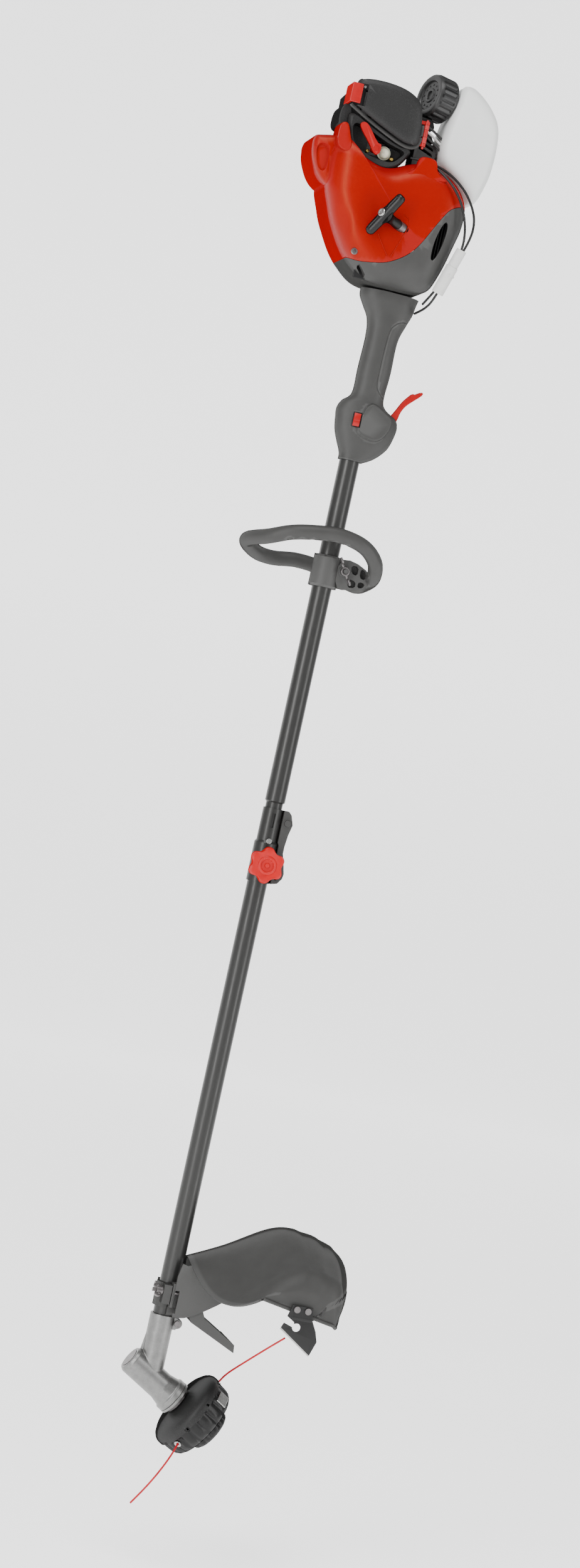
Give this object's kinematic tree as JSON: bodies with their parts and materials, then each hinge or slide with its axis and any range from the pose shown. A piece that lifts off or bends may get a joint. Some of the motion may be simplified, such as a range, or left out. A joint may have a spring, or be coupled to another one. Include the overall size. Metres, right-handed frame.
{
  "type": "string trimmer",
  "caption": "Petrol string trimmer: engine, rear grip with trigger, loop handle, split boom with coupler, guard and angled bump-feed head.",
  "frame": {"origin": "on the boom tube's axis, in the clear stretch of tube between the rear grip and the loop handle, near the balance point", "axes": "+Z along the boom towards the engine, +X towards the ground side in use, +Y away from the starter handle's side"},
  "size_m": [0.356, 0.2348, 1.8073],
  "materials": {
    "dark_tube": "satin",
    "steel": "ground",
    "bright_steel": "plated",
    "cast_aluminium": "as cast",
    "grey_plastic": "grained",
    "dark_grey_plastic": "grained",
    "black_plastic": "moulded",
    "red_plastic": "glossy",
    "orange_red_plastic": "moulded",
    "translucent_plastic": "translucent",
    "white_plastic": "moulded",
    "foam": "open cell foam",
    "black_rubber": "soft",
    "nylon_line": "extruded",
    "rope": "braided",
    "heat_steel": "heat stained",
    "ivory_rubber": "clear bulb"
  },
  "bodies": {
    "powerhead": {"upper_tube": "dark_tube", "upper_bearings": "steel", "coupler_sleeve": "cast_aluminium", "coupler_bracket": "dark_grey_plastic", "starter_fittings": "steel", "crankcase": "cast_aluminium", "cylinder": "cast_aluminium", "spark_plug": "black_rubber", "ignition_coil": "black_plastic", "muffler": "heat_steel", "carburettor": "cast_aluminium", "fan_housing": "grey_plastic", "engine_shroud": "red_plastic", "air_box": "dark_grey_plastic", "air_filter": "foam", "carburettor_cover": "dark_grey_plastic", "hinge_pins": "red_plastic", "fuel_tank": "translucent_plastic", "tank_bracket": "grey_plastic", "grip_near_half": "grey_plastic", "grip_far_half": "grey_plastic", "throttle_cable": "black_rubber", "stop_wires": "black_rubber", "wire_connector": "white_plastic"},
    "crank": {"crankshaft_and_clutch": "steel", "flywheel": "cast_aluminium"},
    "piston_set": {"piston": "cast_aluminium", "connecting_rod": "steel"},
    "recoil_pulley": {"starter_pulley": "black_plastic"},
    "starter": {"starter_handle": "black_plastic", "starter_rope": "rope"},
    "choke": {"choke_lever": "red_plastic"},
    "primer": {"primer_bulb": "ivory_rubber"},
    "filter_door": {"filter_cover": "dark_grey_plastic"},
    "door_latch": {"cover_latch": "red_plastic"},
    "cap": {"fuel_cap": "black_plastic"},
    "throttle_trigger": {"trigger": "red_plastic"},
    "engine_switch": {"stop_switch": "red_plastic"},
    "front_handle": {"loop_handle": "grey_plastic", "loop_clamp": "grey_plastic"},
    "front_nut": {"loop_wing_nut": "bright_steel"},
    "upper_drive": {"upper_drive_shaft": "steel", "clutch_drum": "steel"},
    "coupler_screw": {"coupler_knob": "orange_red_plastic"},
    "coupler_button": {"release_button": "steel"},
    "lower_boom": {"lower_tube": "dark_tube", "lower_bearings": "steel", "gear_case": "cast_aluminium", "shield": "grey_plastic", "shield_strap": "grey_plastic", "line_cutter": "black_plastic", "lower_fasteners": "bright_steel"},
    "shield_nut": {"shield_wing_nut": "bright_steel"},
    "lower_drive": {"lower_drive_shaft": "steel"},
    "head": {"head_arbor": "steel", "head_cover": "dark_grey_plastic", "spool_housing": "black_plastic", "trimmer_line": "nylon_line"},
    "bump": {"bump_knob": "black_plastic", "line_spool": "black_plastic"}
  },
  "joints": [
    {"name": "crank_spin", "type": "hinge", "parent": "powerhead", "child": "crank", "pos_m": [0, 0, 0.3], "axis": [0, 0, 1], "continuous": true},
    {"name": "piston_stroke", "type": "slide", "parent": "powerhead", "child": "piston_set", "axis": [1, 0, 0], "range_m": [0, 0.028]},
    {"name": "starter_pull", "type": "slide", "parent": "powerhead", "child": "starter", "axis": [-0.8026, -0.5618, 0.2006], "range_m": [0, 0.55]},
    {"name": "recoil_pulley_turn", "type": "hinge", "parent": "powerhead", "child": "recoil_pulley", "pos_m": [0, 0, 0.3185], "axis": [0, 0, 1], "range_deg": [0, 1300]},
    {"name": "choke_swing", "type": "hinge", "parent": "powerhead", "child": "choke", "pos_m": [-0.062, -0.05, 0.42], "axis": [0, -1, 0], "range_deg": [0, 25]},
    {"name": "primer_press", "type": "slide", "parent": "powerhead", "child": "primer", "axis": [0, 1, 0], "range_m": [0, 0.0025], "stiffness_N_per_m": 400},
    {"name": "filter_door_swing", "type": "hinge", "parent": "powerhead", "child": "filter_door", "pos_m": [-0.0045, -0.046, 0.45], "axis": [0, 0, 1], "range_deg": [0, 100]},
    {"name": "door_latch_swing", "type": "hinge", "parent": "filter_door", "child": "door_latch", "pos_m": [-0.097, -0.0619, 0.478], "axis": [0, 0, 1], "range_deg": [0, 70]},
    {"name": "fuel_cap_lift", "type": "slide", "parent": "powerhead", "child": "cap", "axis": [-0.5997, -0.3498, 0.7197], "range_m": [0, 0.12]},
    {"name": "trigger_pull", "type": "hinge", "parent": "powerhead", "child": "throttle_trigger", "pos_m": [0.0405, 0, 0.1035], "axis": [0, -1, 0], "range_deg": [0, 18], "stiffness_Nm_per_rad": 0.9, "springref_deg": -5.73},
    {"name": "switch_rock", "type": "hinge", "parent": "powerhead", "child": "engine_switch", "pos_m": [-0.006, -0.0185, 0.094], "axis": [1, 0, 0], "range_deg": [-7, 7]},
    {"name": "front_handle_slide", "type": "slide", "parent": "powerhead", "child": "front_handle", "axis": [0, 0, -1], "range_m": [-0.07, 0.2]},
    {"name": "front_nut_turn", "type": "hinge", "parent": "front_handle", "child": "front_nut", "pos_m": [0.02, -0.02, -0.093], "axis": [0, -1, 0], "continuous": true},
    {"name": "upper_drive_spin", "type": "hinge", "parent": "powerhead", "child": "upper_drive", "pos_m": [0, 0, 0], "axis": [0, 0, 1], "continuous": true},
    {"name": "coupler_knob_turn", "type": "hinge", "parent": "powerhead", "child": "coupler_screw", "pos_m": [0.001, -0.03, -0.4695], "axis": [0, -1, 0], "continuous": true},
    {"name": "release_press", "type": "slide", "parent": "powerhead", "child": "coupler_button", "axis": [0, -1, 0], "range_m": [0, 0.003], "stiffness_N_per_m": 300},
    {"name": "lower_boom_slide", "type": "slide", "parent": "powerhead", "child": "lower_boom", "axis": [0, 0, -1], "range_m": [0, 0.12]},
    {"name": "shield_nut_turn", "type": "hinge", "parent": "lower_boom", "child": "shield_nut", "pos_m": [-0.012, -0.021, -1.012], "axis": [-1, 0, 0], "continuous": true},
    {"name": "lower_drive_spin", "type": "hinge", "parent": "lower_boom", "child": "lower_drive", "pos_m": [0, 0, -1], "axis": [0, 0, 1], "continuous": true},
    {"name": "head_spin", "type": "hinge", "parent": "lower_boom", "child": "head", "pos_m": [0, 0, -1.122], "axis": [0.8572, 0, -0.515], "continuous": true},
    {"name": "bump_press", "type": "slide", "parent": "head", "child": "bump", "axis": [-0.8572, 0, 0.515], "range_m": [0, 0.003], "stiffness_N_per_m": 3000}
  ],
  "couplings": [
    {"joint": "recoil_pulley_turn", "follows": "starter_pull", "rad_per_m": 38.462},
    {"joint": "lower_drive_spin", "follows": "head_spin", "ratio": -1.4},
    {"joint": "upper_drive_spin", "follows": "head_spin", "ratio": -1.4}
  ]
}
